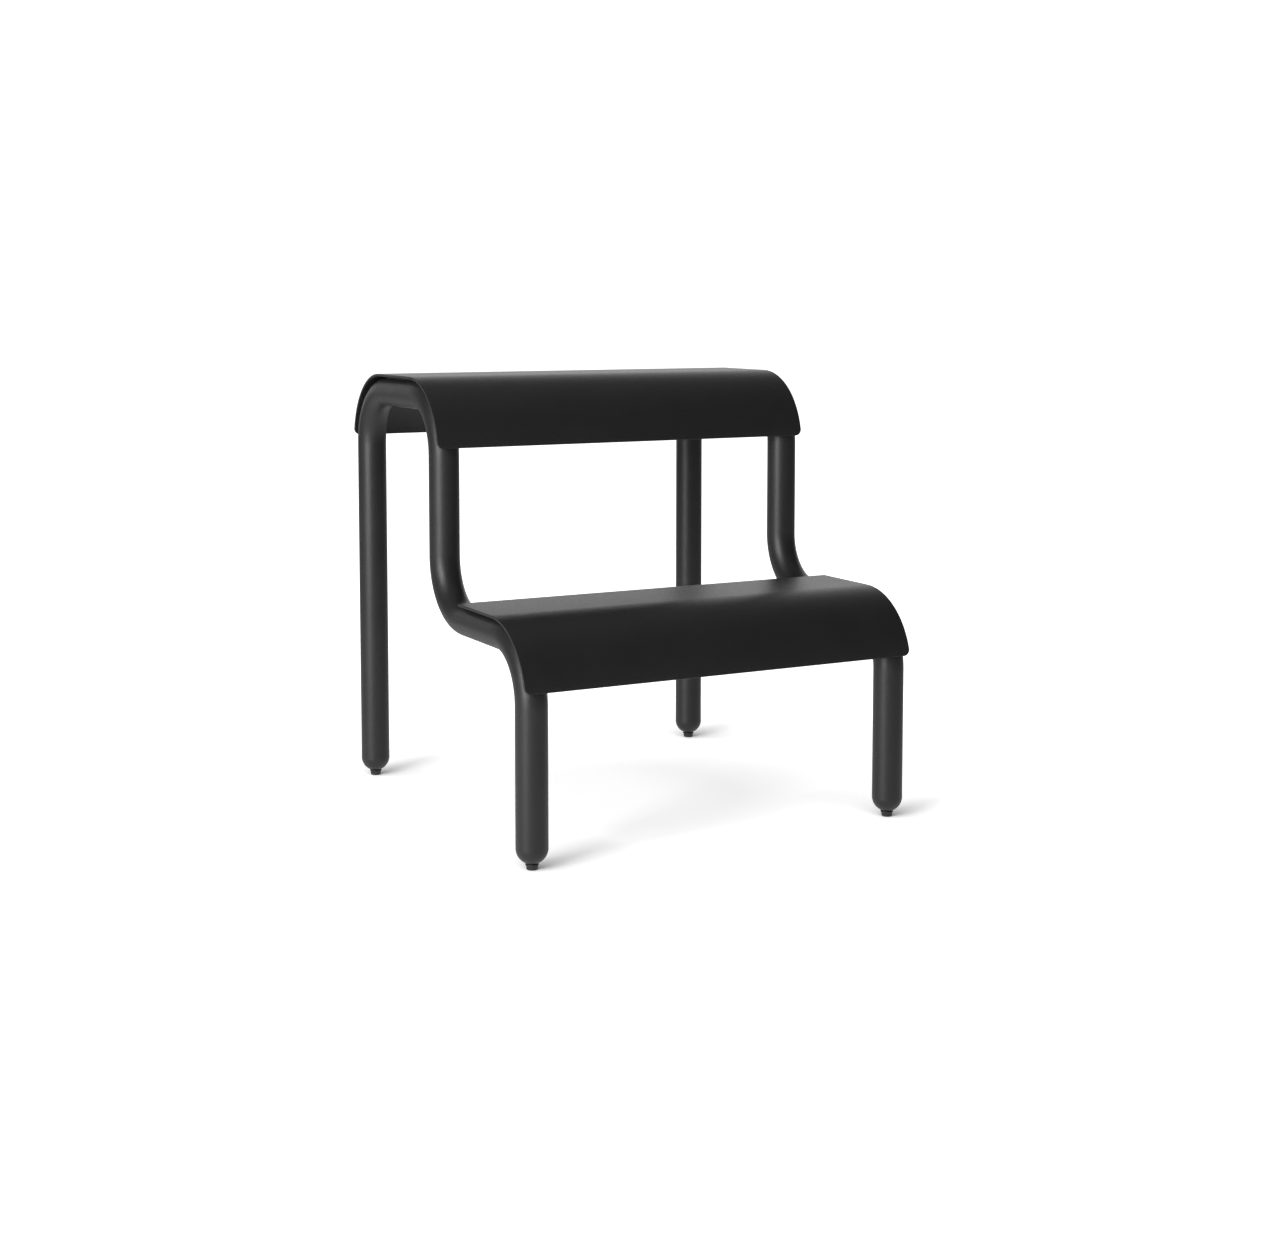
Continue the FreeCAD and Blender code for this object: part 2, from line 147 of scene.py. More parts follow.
class GlideSettings(bpy.types.PropertyGroup):
    """Moulded feet of the glides"""

    rim: FloatProperty(name="Rim", description="Height of the moulded rim", default=0.0012, unit="LENGTH")
    rim_edge: FloatProperty(
        name="Rim Edge", description="Bevel of the rim's edges", default=0.0004, unit="LENGTH"
    )
    taper: FloatProperty(
        name="Taper", description="How much the radius narrows towards the sole",
        default=0.001, unit="LENGTH",
    )
    sole_edge: FloatProperty(
        name="Sole Edge", description="Rounding of the sole's edge", default=0.0012, unit="LENGTH"
    )
    sole_hollow: FloatProperty(
        name="Sole Hollow", description="Depth of the hollow in the sole", default=0.0002, unit="LENGTH"
    )
    hole: FloatProperty(name="Hole", description="Radius of the stud's hole", default=0.00405, unit="LENGTH")
    hole_floor: FloatProperty(
        name="Hole Floor", description="Height of the hole's floor over the sole",
        default=0.0026, unit="LENGTH",
    )
    segments: IntProperty(name="Segments", description="Sides of the foot", default=96, min=24)
    ribs: IntProperty(name="Ribs", description="Grip ribs round the rim", default=28, min=6)
    rib_radius: FloatProperty(
        name="Rib Radius", description="Radius of each grip rib", default=0.0003, unit="LENGTH"
    )


class StageSettings(bpy.types.PropertyGroup):
    """Floor, lights and camera"""

    floor_size: FloatProperty(name="Floor", description="Side of the floor", default=14.0, unit="LENGTH")
    # Glow and Cast set the floor's painted glow, as the camera and as other rays see it; the glow is lower
    # under the stool as painted shade beneath it.
    glow: FloatProperty(name="Glow", description="Backlight of the floor under the stool", default=0.6)
    cast: FloatProperty(name="Cast", description="Light that the floor throws on the stool", default=0.42)
    contact: FloatProperty(
        name="Contact", description="Reach of the soft shade at the feet", default=0.11, unit="LENGTH"
    )
    contact_depth: FloatProperty(
        name="Contact Depth", description="Strength of the shade at the feet", default=3.0
    )
    horizon: FloatProperty(name="Horizon", description="Brightness of the low wall at the back", default=1.6)
    key_power: FloatProperty(name="Key", description="Power of the tall softbox", default=78.0, unit="POWER")
    fill_power: FloatProperty(
        name="Fill", description="Power of the overhead softbox", default=3.0, unit="POWER"
    )
    ambient: FloatProperty(name="Ambient", description="Brightness of the dim studio walls", default=0.12)
    camera_place: FloatVectorProperty(
        name="Camera", description="Place of the camera", default=(-0.9175, -1.7510, 0.5102), unit="LENGTH"
    )
    lens: FloatProperty(name="Lens", description="Focal length in millimetres", default=55.04)
    azimuth: FloatProperty(
        name="Azimuth", description="Heading of the view", default=math.radians(28.0), subtype="ANGLE"
    )
    pitch: FloatProperty(
        name="Pitch", description="Angle that the view looks down",
        default=math.radians(4.817), subtype="ANGLE",
    )
    shift: FloatProperty(name="Shift", description="Vertical lens shift", default=-0.12)


# --------------------------------------------------------------- materials


def fill_socket(tree, socket, value):
    """Links an output to a socket, or sets the socket's value."""
    if isinstance(value, bpy.types.NodeSocket):
        tree.links.new(value, socket)
    else:
        socket.default_value = value


class Shader:
    """A node material that is put together one node at a time."""

    def __init__(self, name):
        self.material = bpy.data.materials.new(name)
        self.material.use_nodes = True
        self.tree = self.material.node_tree
        self.principled = self.tree.nodes["Principled BSDF"]

    def add(self, kind, values=None, **settings):
        """A new node with its settings, and with a value or a link for each named input."""
        node = self.tree.nodes.new(f"ShaderNode{kind}")
        for setting, value in settings.items():
            setattr(node, setting, value)
        for name, value in (values or {}).items():
            self.put(node, name, value)
        return node

    def put(self, node, name, value):
        """Links an output to an input, or sets the input's value."""
        fill_socket(self.tree, node.inputs[name], value)

    def place(self):
        """Object coordinates, which are metres in the stool's own frame."""
        return self.add("TexCoord").outputs["Object"]

    def noise(self, size, detail=NOISE_DETAIL):
        """Cloudy noise whose features have about the given size in metres."""
        node = self.add("TexNoise", {"Vector": self.place(), "Scale": 1 / size, "Detail": detail})
        return node.outputs["Fac"]

    def remap(self, value, spread, results):
        """A value moved from one range to another, where either end of the results can be a link."""
        ends = dict(zip(("From Min", "From Max", "To Min", "To Max"), (*spread, *results)))
        return self.add("MapRange", {"Value": value, **ends}).outputs["Result"]

    def blend(self, factor, first, second):
        """A colour between two colours."""
        node = self.add("Mix", data_type="RGBA")
        for index, value in zip(MIX_COLOUR_INPUTS, (factor, first, second)):
            self.put(node, index, value)
        return node.outputs[MIX_COLOUR_OUTPUT]

    def math(self, operation, first, second):
        """One sum on two values."""
        node = self.add("Math", operation=operation)
        self.put(node, 0, first)
        self.put(node, 1, second)
        return node.outputs[0]

    def bump(self, height, depth, below=None):
        """Bumps of a depth in metres, over other bumps if they are given."""
        values = {"Height": height, "Distance": depth}
        if below is not None:
            values["Normal"] = below
        return self.add("Bump", values).outputs["Normal"]

    def edges(self, radius):
        """1 on convex edges that are sharper than a radius, and 0 on flat ground."""
        rounded = self.add("Bevel", {"Radius": radius}).outputs["Normal"]
        plain = self.add("NewGeometry").outputs["Normal"]
        agreement = self.add("VectorMath", {0: rounded, 1: plain}, operation="DOT_PRODUCT")
        return self.remap(agreement.outputs["Value"], EDGE_AGREEMENT, (0.0, 1.0))

    def finish(self, **inputs):
        """Sets the principled shader's inputs and returns the material."""
        for name, value in inputs.items():
            self.put(self.principled, name.replace("_", " "), value)
        return self.material


def grey(level, warmth=0.0):
    """An almost neutral colour."""
    return (level * (1 + warmth), level, level * (1 - warmth), 1.0)


def powder_coat(name, settings, roughness):
    """Black powder coat: fine grain over a soft orange peel, a little rubbed along the edges."""
    cloud_size, peel_size, rubbed_edge, gloss_swing = 0.05, 0.006, 0.0006, 0.05
    dark, light, rubbed = (settings.shade * share for share in (0.92, 1.12, 3.2))
    shader = Shader(name)
    cloud = shader.noise(cloud_size)
    grain = shader.noise(settings.grain)
    speck = shader.noise(settings.grain / 3, SOFT_DETAIL)
    wear = shader.remap(cloud, (0.35, 0.75), (0.15, 0.6))
    worn = shader.math("MULTIPLY", shader.edges(rubbed_edge), wear)
    pigment = shader.blend(shader.remap(cloud, NOISE_SPREAD, (0.0, 1.0)), grey(dark), grey(light, 0.01))
    pigment = shader.blend(worn, pigment, grey(rubbed))
    peel = shader.bump(shader.noise(peel_size, SOFT_DETAIL), settings.grain_depth * 1.2)
    normal = shader.bump(grain, settings.grain_depth, peel)
    normal = shader.bump(speck, settings.grain_depth / 4, normal)
    gloss = shader.remap(grain, NOISE_SPREAD, (roughness - gloss_swing, roughness + gloss_swing))
    return shader.finish(Base_Color=pigment, Roughness=gloss, Normal=normal, IOR=1.48)


def plated_metal(name, cloud_size, scratch_size, colours, metallic, roughness):
    """A plated or blackened metal with a faint cloud and very fine scratches."""
    scratch_depth = 0.00001
    shader = Shader(name)
    cloud = shader.noise(cloud_size)
    colour = shader.blend(cloud, *colours)
    gloss = shader.remap(cloud, NOISE_SPREAD, roughness)
    normal = shader.bump(shader.noise(scratch_size), scratch_depth)
    return shader.finish(Base_Color=colour, Metallic=metallic, Roughness=gloss, Normal=normal)


def zinc_plate():
    """Bright zinc plate."""
    return plated_metal("zinc_plate", 0.004, 0.0006, (grey(0.48), grey(0.62, 0.03)), 1.0, (0.26, 0.42))


def black_oxide():
    """Oiled black oxide on the screws."""
    return plated_metal("black_oxide", 0.003, 0.0005, (grey(0.03), grey(0.07, 0.04)), 0.9, (0.3, 0.45))


def moulded_nylon():
    """Black nylon with a spark-eroded mould texture, scuffed where it meets the floor."""
    scuff_height, scuff_size, gloss_size = 0.0012, 0.0015, 0.002
    texture_size, texture_depth = 0.0004, 0.00002
    shader = Shader("moulded_nylon")
    height = shader.add("SeparateXYZ", {"Vector": shader.place()}).outputs["Z"]
    low = shader.remap(height, (0.0, scuff_height), (1.0, 0.0))
    patches = shader.remap(shader.noise(scuff_size), (0.4, 0.65), (0.0, 1.0))
    colour = shader.blend(shader.math("MULTIPLY", low, patches), grey(0.014), grey(0.06))
    gloss = shader.remap(shader.noise(gloss_size), NOISE_SPREAD, (0.5, 0.64))
    normal = shader.bump(shader.noise(texture_size), texture_depth)
    return shader.finish(Base_Color=colour, Roughness=gloss, Normal=normal)


def saddle_rubber():
    """Matt black rubber."""
    gloss_size, texture_size, texture_depth = 0.002, 0.0005, 0.00003
    shader = Shader("saddle_rubber")
    gloss = shader.remap(shader.noise(gloss_size), NOISE_SPREAD, (0.75, 0.9))
    normal = shader.bump(shader.noise(texture_size), texture_depth)
    return shader.finish(Base_Color=grey(0.012), Roughness=gloss, Normal=normal)


def paper_floor(settings):
    """White studio paper with a painted glow that is stronger away from the stool, so weaker under it as
    painted shade, and a painted shadow at the feet.
    """
    under_stool, round_stool = (0.12, 0.5), (0.5, 1.6)
    open_glow, far_cast, cloud_size = 1.2, 0.04, 0.6
    shader = Shader("paper_floor")
    distance = shader.add("VectorMath", {0: shader.place()}, operation="LENGTH").outputs["Value"]
    # Painted shadow at the feet: occlusion round a normal tilted toward the lamp darkens the glow on the far
    # side of each foot.
    lamp = shader.add("CombineXYZ", dict(zip("XYZ", LAMP_HEADING))).outputs["Vector"]
    occlusion = {"Distance": settings.contact, "Normal": lamp}
    open_sky = shader.add("AmbientOcclusion", occlusion, samples=CONTACT_SAMPLES).outputs["AO"]
    contact = shader.math("POWER", open_sky, settings.contact_depth)
    # What the camera sees: a painted glow, dimmer under the stool as painted shade beneath it, times the
    # painted shadow at the feet.
    seen = shader.math("MULTIPLY", shader.remap(distance, under_stool, (settings.glow, open_glow)), contact)
    # What other rays see: a painted glow that lights the stool from below and fades away from it.
    cast = shader.remap(distance, round_stool, (settings.cast, far_cast))
    eye = shader.add("LightPath").outputs["Is Camera Ray"]
    # The camera sees one painted glow and all other rays see the other; this is emission, not a lamp.
    painted_floor_glow = shader.remap(eye, (0.0, 1.0), (cast, seen))
    colour = shader.blend(shader.noise(cloud_size), grey(0.79), grey(0.81))
    light = {"Emission_Color": grey(1.0), "Emission_Strength": painted_floor_glow}
    return shader.finish(Base_Color=colour, Roughness=0.9, **light)


def finish_node(node, material):
    """Gives a CAD node its material."""
    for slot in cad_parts[node].material_slots:
        slot.material = material


# ---------------------------------------------------------- geometry nodes


class Grower:
    """A Geometry Nodes tree that works on a base mesh, with a named input for each size."""

    def __init__(self, name, **inputs):
        self.tree = bpy.data.node_groups.new(name, "GeometryNodeTree")
        self.tree.is_modifier = True
        kinds = {"Geometry": "Geometry", "Material": "Material", "Place": "Vector", **inputs}
        for label, kind in kinds.items():
            self.tree.interface.new_socket(label, in_out="INPUT", socket_type=f"NodeSocket{kind}")
        self.tree.interface.new_socket("Geometry", in_out="OUTPUT", socket_type="NodeSocketGeometry")
        self.given = self.tree.nodes.new("NodeGroupInput").outputs

    def add(self, kind, values=None, **settings):
        """The first output of a new node with its settings, and a value or a link for each input."""
        node = self.tree.nodes.new(kind)
        for setting, value in settings.items():
            setattr(node, setting, value)
        for name, value in (values or {}).items():
            fill_socket(self.tree, node.inputs[name], value)
        return node.outputs[0]

    def sum(self, operation, first, second=0.0):
        """One sum on two values."""
        return self.add("ShaderNodeMath", {0: first, 1: second}, operation=operation)

    def vector(self, operation, values):
        """One sum on vectors."""
        return self.add("ShaderNodeVectorMath", values, operation=operation)

    def thread(self, shape):
        """Cuts a right-hand thread round the Z axis from Bottom to Top, run out at both ends."""
        place = self.add("GeometryNodeInputPosition")
        split = self.tree.nodes.new("ShaderNodeSeparateXYZ")
        self.tree.links.new(place, split.inputs[0])
        across, along, height = split.outputs
        turn = self.sum("DIVIDE", self.sum("ARCTAN2", along, across), 2 * math.pi)
        turns = self.sum("DIVIDE", height, self.given["Pitch"])
        phase = self.sum("FRACT", self.sum("SUBTRACT", self.sum("ADD", turns, 1.0), turn))
        from_middle = self.sum("ABSOLUTE", self.sum("SUBTRACT", phase, GROOVE_PHASE))
        flank = self.sum("MULTIPLY", from_middle, GROOVE_SLOPE)
        groove = self.sum("MAXIMUM", self.sum("SUBTRACT", 1.0, flank))
        above = self.sum("SUBTRACT", height, self.given["Bottom"])
        below = self.sum("SUBTRACT", self.given["Top"], height)
        room = self.sum("MINIMUM", above, below)
        fade = self.add("ShaderNodeClamp", {"Value": self.sum("DIVIDE", room, self.given["Pitch"])})
        depth = self.sum("MULTIPLY", self.sum("MULTIPLY", groove, fade), self.given["Depth"])
        inward = self.vector("NORMALIZE", {0: self.vector("MULTIPLY", {0: place, 1: (-1.0, -1.0, 0.0)})})
        offset = self.vector("SCALE", {0: inward, "Scale": depth})
        return self.add("GeometryNodeSetPosition", {"Geometry": shape, "Offset": offset})

    def end(self, shape):
        """Moves the shape to its place, realizes it and gives it the material."""
        moved = self.add("GeometryNodeTransform", {"Geometry": shape, "Translation": self.given["Place"]})
        real = self.add("GeometryNodeRealizeInstances", {"Geometry": moved})
        coated = self.add("GeometryNodeSetMaterial", {"Geometry": real, "Material": self.given["Material"]})
        self.tree.links.new(coated, self.tree.nodes.new("NodeGroupOutput").inputs[0])
        return self.tree


def thread_tree():
    """Threads the base mesh."""
    grower = Grower("stud_thread", Bottom="Float", Top="Float", Pitch="Float", Depth="Float")
    return grower.end(grower.thread(grower.given["Geometry"]))


def screw_row_tree():
    """Threads the base mesh, which is one screw, and repeats it along Y."""
    grower = Grower(
        "screw_row", Bottom="Float", Top="Float", Pitch="Float", Depth="Float", Count="Int", Spacing="Vector"
    )
    screw = grower.thread(grower.given["Geometry"])
    line = {"Count": grower.given["Count"], "Offset": grower.given["Spacing"]}
    row = grower.add("GeometryNodeMeshLine", line)
    return grower.end(grower.add("GeometryNodeInstanceOnPoints", {"Points": row, "Instance": screw}))


def rib_ring_tree():
    """Adds a ring of upright round ribs to the base mesh."""
    grower = Grower("rib_ring", Ribs="Int", Ring="Float", Rib="Float", Height="Float", Level="Vector")
    post = {"Vertices": RIB_SIDES, "Radius": grower.given["Rib"], "Depth": grower.given["Height"]}
    rib = grower.add("GeometryNodeMeshCylinder", post)
    circle = {"Vertices": grower.given["Ribs"], "Radius": grower.given["Ring"]}
    ring = grower.add("GeometryNodeMeshCircle", circle)
    level = grower.add("GeometryNodeTransform", {"Geometry": ring, "Translation": grower.given["Level"]})
    ribs = grower.add("GeometryNodeInstanceOnPoints", {"Points": level, "Instance": rib})
    joined = grower.tree.nodes.new("GeometryNodeJoinGeometry")
    for part in (grower.given["Geometry"], ribs):
        grower.tree.links.new(part, joined.inputs[0])
    return grower.end(joined.outputs[0])


def grow(name, base, tree, smooth_angle, **values):
    """Runs a tree on a base mesh and returns the result as a plain mesh."""
    carrier = bpy.data.objects.new(name, base)
    bpy.context.scene.collection.objects.link(carrier)
    modifier = carrier.modifiers.new("grow", "NODES")
    modifier.node_group = tree
    for socket in tree.interface.items_tree:
        if socket.in_out == "INPUT" and socket.name in values:
            modifier[socket.identifier] = values[socket.name]
    grown = bpy.data.meshes.new_from_object(carrier.evaluated_get(bpy.context.evaluated_depsgraph_get()))
    bpy.data.objects.remove(carrier)
    grown.shade_smooth()
    grown.set_sharp_from_angle(angle=smooth_angle)
    return grown


# ------------------------------------------------------------------ meshes


def add_piece(name, mesh, body, replaced):
    """Adds a finished mesh as a piece that rides on a body and stands for CAD nodes."""
    piece = bpy.data.objects.new(name, mesh)
    bpy.context.scene.collection.objects.link(piece)
    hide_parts(*replaced)
    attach(piece, body)
    return piece


def limits(node):
    """Centre of a node's box, and the box's corners."""
    low, high = (Vector(corner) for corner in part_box(node))
    return (low + high) / 2, low, high


def lathe(name, rings, segments):
    """A closed mesh round the Z axis, where a ring gives its height and a radius for each angle."""
    shell = bmesh.new()
    loops = []
    for height, radius_at in rings:
        loop = []
        for side in range(segments):
            turn = 2 * math.pi * side / segments
            radius = radius_at(turn)
            loop.append(shell.verts.new((radius * math.cos(turn), radius * math.sin(turn), height)))
        loops.append(loop)
    for lower, upper in zip(loops, loops[1:]):
        for side in range(segments):
            after = (side + 1) % segments
            shell.faces.new((lower[side], lower[after], upper[after], upper[side]))
    shell.faces.new(reversed(loops[0]))
    shell.faces.new(loops[-1])
    bmesh.ops.recalc_face_normals(shell, faces=shell.faces)
    mesh = bpy.data.meshes.new(name)
    shell.to_mesh(mesh)
    shell.free()
    return mesh


def round_ring(height, radius):
    """A plain round ring."""
    return height, lambda turn: radius


def even_rings(bottom, top, radius, spacing):
    """Equal rings between two heights."""
    count = round((top - bottom) / spacing)
    return [round_ring(bottom + (top - bottom) * index / count, radius) for index in range(count + 1)]


# --------------------------------------------------------------- operators


class STOOL_OT_coat(bpy.types.Operator):
    """Powder coat on the side frames, their leg caps, the treads and the bosses under them"""

    bl_idname = "stool.coat"
    bl_label = "Coat Frames and Treads"

    def execute(self, context):
        settings = context.scene.stool_coat
        frame_coat = powder_coat("frame_powder_coat", settings, settings.frame_roughness)
        tread_coat = powder_coat("tread_powder_coat", settings, settings.tread_roughness)
        for side in ("left", "right"):
            finish_node(f"{side}_frame_tube", frame_coat)
        for foot in FEET:
            finish_node(f"{foot}_leg_cap", frame_coat)
        for tread in ("upper_tread", "lower_tread"):
            finish_node(tread, tread_coat)
        for run in RUNS:
            finish_node(f"{run}_tread_bosses", tread_coat)
        return {"FINISHED"}


class STOOL_OT_hardware(bpy.types.Operator):
    """Zinc plate on the bushes and sleeves, and rubber on the saddle pads"""

    bl_idname = "stool.hardware"
    bl_label = "Finish Hidden Hardware"

    def execute(self, context):
        zinc = zinc_plate()
        rubber = saddle_rubber()
        for foot in FEET:
            finish_node(f"{foot}_glide_bush", zinc)
        for run in RUNS:
            finish_node(f"{run}_spacer_sleeves", zinc)
            finish_node(f"{run}_saddle_pad", rubber)
        return {"FINISHED"}


class STOOL_OT_studs(bpy.types.Operator):
    """Threaded studs of the levelling glides"""

    bl_idname = "stool.studs"
    bl_label = "Build Glide Studs"

    def execute(self, context):
        settings = context.scene.stool_studs
        tree = thread_tree()
        for foot in FEET:
            mesh = stud_mesh(f"{foot}_glide_stud", tree, settings)
            add_piece(f"{foot}_threaded_stud", mesh, f"{foot}_stud", [f"{foot}_glide_stud"])
        return {"FINISHED"}


def stud_mesh(node, tree, settings):
    """A stud with a flange at its foot and a thread above, the size of its CAD node."""
    centre, low, high = limits(node)
    length = high.z - low.z
    flange_radius = (high.x - low.x) / 2
    crest = flange_radius - settings.flange_step
    bottom, top = settings.flange, length - settings.bevel
    rings = [round_ring(0.0, flange_radius), round_ring(bottom, flange_radius)]
    rings += even_rings(bottom, top, crest, settings.pitch / settings.rings)
    rings.append(round_ring(length, crest - settings.bevel))
    base = lathe(node, rings, settings.segments)
    return grow(
        node, base, tree, STUD_SMOOTH, Material=bpy.data.materials["zinc_plate"],
        Place=(centre.x, centre.y, low.z), Bottom=bottom, Top=top, Pitch=settings.pitch,
        Depth=settings.depth,
    )


class STOOL_OT_glides(bpy.types.Operator):
    """Moulded feet of the levelling glides"""

    bl_idname = "stool.glides"
    bl_label = "Build Glide Feet"

    def execute(self, context):
        settings = context.scene.stool_glides
        nylon = moulded_nylon()
        tree = rib_ring_tree()
        for foot in FEET:
            mesh = foot_mesh(f"{foot}_glide", tree, nylon, settings)
            add_piece(f"{foot}_glide_foot", mesh, f"{foot}_glide", [f"{foot}_glide"])
        return {"FINISHED"}


def foot_mesh(node, tree, material, settings):
    """A foot that narrows to its rounded sole, with a ribbed rim at the top round the stud's hole."""
    centre, low, high = limits(node)
    height = high.z - low.z
    wide = (high.x - low.x) / 2
    narrow = wide - settings.taper
    edge = settings.sole_edge
    rim_radius = wide - settings.rib_radius
    rim_bottom, rim_edge = height - settings.rim, settings.rim_edge
    hollow = narrow - 2 * edge
    rings = [round_ring(settings.sole_hollow, hollow), round_ring(0.0, hollow + rim_edge)]
    for step in range(ROUND_STEPS + 1):
        angle = math.pi / 2 * step / ROUND_STEPS
        rings.append(round_ring(edge * (1 - math.cos(angle)), narrow - edge * (1 - math.sin(angle))))
    rings += [
        round_ring(rim_bottom - rim_edge, rim_radius - rim_edge),
        round_ring(rim_bottom, rim_radius),
        round_ring(height - rim_edge, rim_radius),
        round_ring(height, rim_radius - rim_edge),
        round_ring(height, settings.hole),
        round_ring(settings.hole_floor, settings.hole),
    ]
    base = lathe(node, rings, settings.segments)
    rib_height = settings.rim - rim_edge
    return grow(
        node, base, tree, FOOT_SMOOTH, Material=material, Place=(centre.x, centre.y, low.z),
        Ribs=settings.ribs, Ring=rim_radius, Rib=settings.rib_radius, Height=rib_height,
        Level=(0.0, 0.0, rim_bottom + rib_height / 2),
    )


class STOOL_OT_screws(bpy.types.Operator):
    """Countersunk socket screws under the treads' runs"""

    bl_idname = "stool.screws"
    bl_label = "Build Tread Screws"

    def execute(self, context):
        settings = context.scene.stool_screws
        oxide = black_oxide()
        tree = screw_row_tree()
        for run in RUNS:
            mesh = screw_row_mesh(f"{run}_tread_screws", tree, oxide, settings)
            add_piece(f"{run}_socket_screws", mesh, "root", [f"{run}_tread_screws"])
        return {"FINISHED"}


def screw_row_mesh(node, tree, material, settings):
    """The screws of a run, heads down, where their CAD node has them."""
    centre, low, high = limits(node)
    length = high.z - low.z
    head_radius = (high.x - low.x) / 2
    shank = head_radius - settings.head
    first, last = low.y + head_radius, high.y - head_radius
    flats = settings.socket / 2
    top = length - settings.bevel
    corner = math.pi / 6

    def hexagon(turn):
        return flats / math.cos(turn % (2 * corner) - corner)

    rings = [
        (settings.socket_depth, hexagon),
        (settings.rim, hexagon),
        round_ring(0.0, flats / math.cos(corner) + settings.rim),
        round_ring(0.0, head_radius - settings.rim),
        round_ring(settings.rim, head_radius),
        round_ring(settings.head, shank),
    ]
    rings += even_rings(settings.head, top, shank, settings.pitch / settings.rings)[1:]
    rings.append(round_ring(length, shank - settings.bevel))
    base = lathe(node, rings, settings.segments)
    return grow(
        node, base, tree, SCREW_SMOOTH, Material=material, Place=(centre.x, first, low.z),
        Bottom=settings.head, Top=top, Pitch=settings.pitch, Depth=settings.depth, Count=settings.count,
        Spacing=(0.0, (last - first) / (settings.count - 1), 0.0),
    )


# Softboxes: place, target, and width and height, in metres.
KEY_PLACE, KEY_TARGET, KEY_SIZE = (-2.4, -1.1, 0.95), (0.0, 0.0, 0.25), (1.05, 1.8)
FILL_PLACE, FILL_TARGET, FILL_SIZE = (0.1, 0.4, 2.4), (0.0, 0.1, 0.0), (2.4, 2.4)
# The bright part of the studio: cosine of the angle from the view's heading, and height.
BACK_SPREAD, LOW_SPREAD = (0.55, 0.92), (0.25, 0.7)
WHITE_STRENGTH = 1.2


class STOOL_OT_stage(bpy.types.Operator):
    """White floor, soft lights and the camera"""

    bl_idname = "stool.stage"
    bl_label = "Build Stage"

    def execute(self, context):
        settings = context.scene.stool_stage
        add_floor(settings)
        add_lights(settings)
        add_camera(context.scene, settings)
        set_world(context.scene, settings)
        context.scene.view_settings.view_transform = "Standard"
        return {"FINISHED"}


def add_floor(settings):
    """A flat white floor under the glides."""
    mesh = bpy.data.meshes.new("floor")
    half = settings.floor_size / 2
    level = CAD_BOX[0][2]
    corners = [(-half, -half, level), (half, -half, level), (half, half, level), (-half, half, level)]
    mesh.from_pydata(corners, [], [(0, 1, 2, 3)])
    floor = bpy.data.objects.new("floor", mesh)
    bpy.context.scene.collection.objects.link(floor)
    mesh.materials.append(paper_floor(settings))


def add_lights(settings):
    """A tall softbox at the left, a little in front of the stool, and a faint wide one overhead."""
    add_light("key", KEY_PLACE, KEY_TARGET, KEY_SIZE, settings.key_power)
    add_light("fill", FILL_PLACE, FILL_TARGET, FILL_SIZE, settings.fill_power)


def add_light(name, place, target, size, power):
    """A rectangular softbox that faces a target."""
    lamp = bpy.data.lights.new(name, "AREA")
    lamp.shape = "RECTANGLE"
    lamp.size, lamp.size_y = size
    lamp.energy = power
    light = bpy.data.objects.new(name, lamp)
    light.location = place
    light.rotation_euler = (Vector(target) - Vector(place)).to_track_quat("-Z", "Y").to_euler()
    bpy.context.scene.collection.objects.link(light)


def add_camera(scene, settings):
    """The camera, in front of the stool and to its left."""
    data = bpy.data.cameras.new("camera")
    data.lens = settings.lens
    data.shift_y = settings.shift
    camera = bpy.data.objects.new("camera", data)
    camera.location = settings.camera_place
    camera.rotation_euler = (math.pi / 2 - settings.pitch, 0, -settings.azimuth)
    scene.collection.objects.link(camera)
    scene.camera = camera


def set_world(scene, settings):
    """White for the camera. For all else, a studio that is bright low down at the back and dim above."""
    world = bpy.data.worlds.new("studio")
    scene.world = world
    world.use_nodes = True
    tree = world.node_tree
    heading = tree.nodes.new("ShaderNodeTexCoord").outputs["Generated"]
    toward = add_sum(tree, "VectorMath", "DOT_PRODUCT", heading, view_heading(settings)).outputs["Value"]
    split = tree.nodes.new("ShaderNodeSeparateXYZ")
    tree.links.new(heading, split.inputs["Vector"])
    behind = map_range(tree, toward, BACK_SPREAD, (0.0, 1.0))
    low = map_range(tree, split.outputs["Z"], LOW_SPREAD, (settings.horizon, 0.0))
    glow = add_sum(tree, "Math", "MULTIPLY", behind, low).outputs[0]
    strength = add_sum(tree, "Math", "ADD", glow, settings.ambient).outputs[0]
    mix = tree.nodes.new("ShaderNodeMixShader")
    tree.links.new(tree.nodes.new("ShaderNodeLightPath").outputs["Is Camera Ray"], mix.inputs["Fac"])
    for socket, brightness in ((mix.inputs[1], strength), (mix.inputs[2], WHITE_STRENGTH)):
        background = tree.nodes.new("ShaderNodeBackground")
        background.inputs["Color"].default_value = grey(1.0)
        fill_socket(tree, background.inputs["Strength"], brightness)
        tree.links.new(background.outputs["Background"], socket)
    tree.links.new(mix.outputs["Shader"], tree.nodes["World Output"].inputs["Surface"])


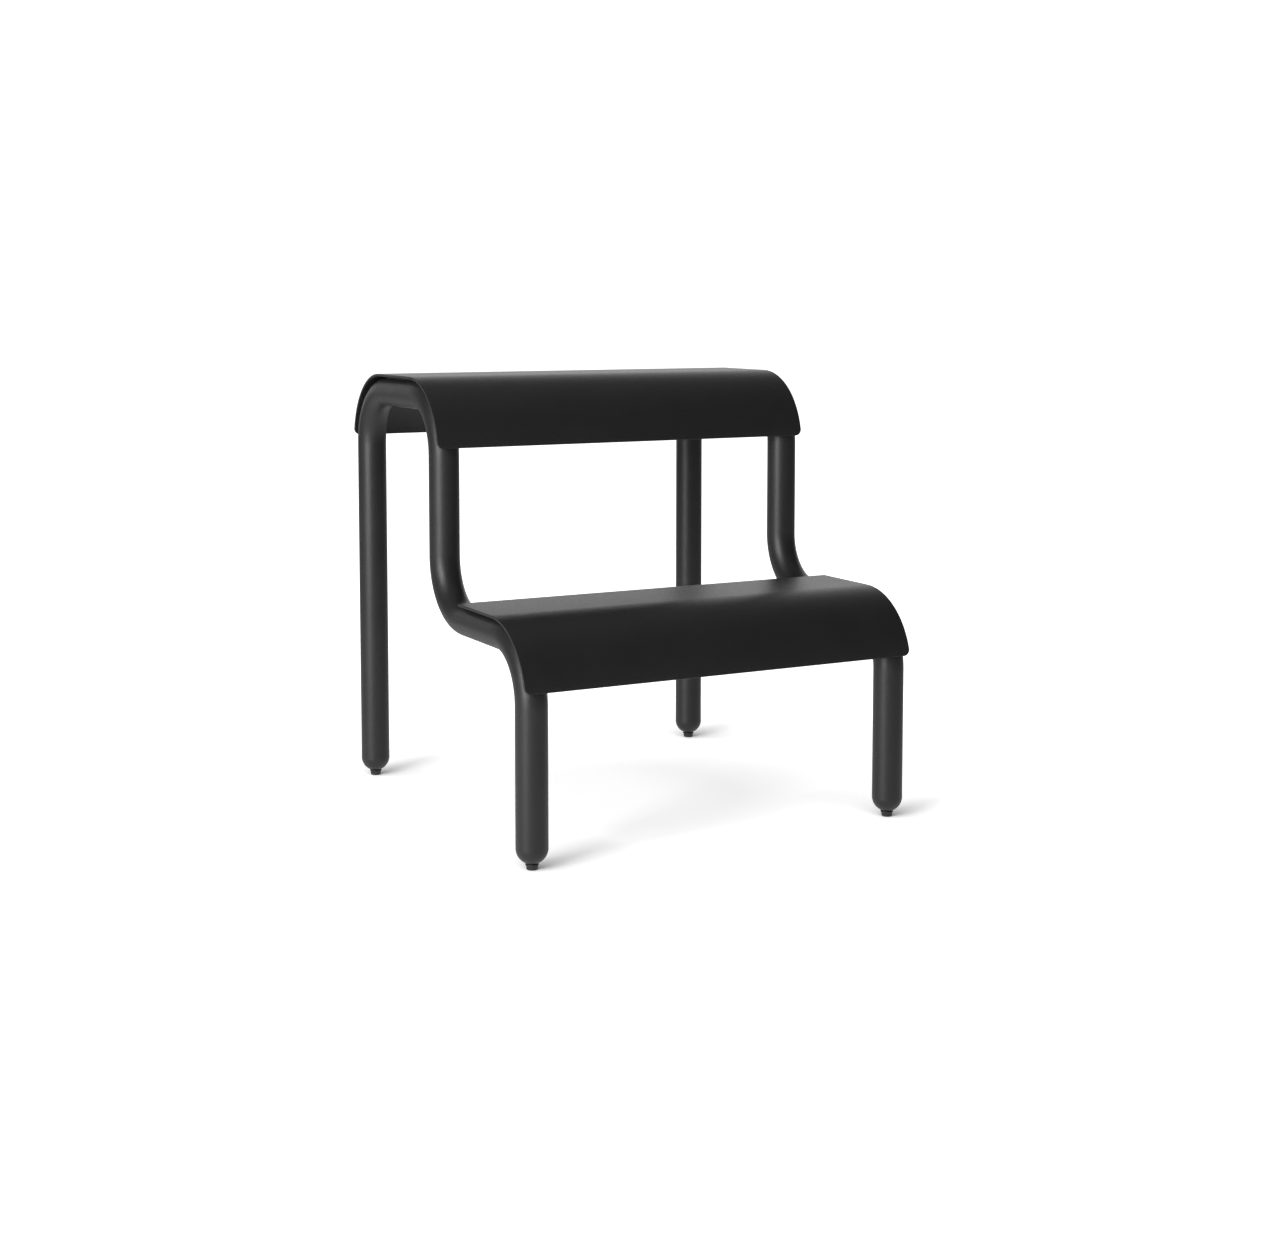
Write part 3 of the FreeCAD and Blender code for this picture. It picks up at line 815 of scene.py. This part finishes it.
def view_heading(settings):
    """The level direction in which the camera looks."""
    return math.sin(settings.azimuth), math.cos(settings.azimuth), 0.0


def add_sum(tree, kind, operation, first, second):
    """A node for one sum on two values or links, in a world's node tree."""
    node = tree.nodes.new(f"ShaderNode{kind}")
    node.operation = operation
    for socket, value in zip(node.inputs, (first, second)):
        fill_socket(tree, socket, value)
    return node


def map_range(tree, value, spread, results):
    """A value moved smoothly from one range to another, in a world's node tree."""
    node = tree.nodes.new("ShaderNodeMapRange")
    node.interpolation_type = "SMOOTHSTEP"
    tree.links.new(value, node.inputs["Value"])
    for name, number in zip(("From Min", "From Max", "To Min", "To Max"), (*spread, *results)):
        node.inputs[name].default_value = number
    return node.outputs["Result"]


# ------------------------------------------------------------ registration


SETTINGS = {
    "stool_coat": CoatSettings,
    "stool_studs": StudSettings,
    "stool_screws": ScrewSettings,
    "stool_glides": GlideSettings,
    "stool_stage": StageSettings,
}
OPERATORS = (
    STOOL_OT_coat,
    STOOL_OT_hardware,
    STOOL_OT_studs,
    STOOL_OT_glides,
    STOOL_OT_screws,
    STOOL_OT_stage,
)


class STOOL_PT_build(bpy.types.Panel):
    """Lists the stool's build steps"""

    bl_idname = "STOOL_PT_build"
    bl_label = "Two-Step Stool"
    bl_space_type = "VIEW_3D"
    bl_region_type = "UI"
    bl_category = "Stool"

    def draw(self, context):
        for operator in OPERATORS:
            self.layout.operator(operator.bl_idname)


def register():
    for settings in SETTINGS.values():
        bpy.utils.register_class(settings)
    for name, settings in SETTINGS.items():
        setattr(bpy.types.Scene, name, PointerProperty(type=settings))
    for operator in OPERATORS:
        bpy.utils.register_class(operator)
    bpy.utils.register_class(STOOL_PT_build)


def unregister():
    bpy.utils.unregister_class(STOOL_PT_build)
    for operator in reversed(OPERATORS):
        bpy.utils.unregister_class(operator)
    for name, settings in SETTINGS.items():
        delattr(bpy.types.Scene, name)
        bpy.utils.unregister_class(settings)


def main():
    """Runs every build step in order."""
    register()
    for operator in OPERATORS:
        group, name = operator.bl_idname.split(".")
        getattr(getattr(bpy.ops, group), name)()


if __name__ == "__main__":
    main()
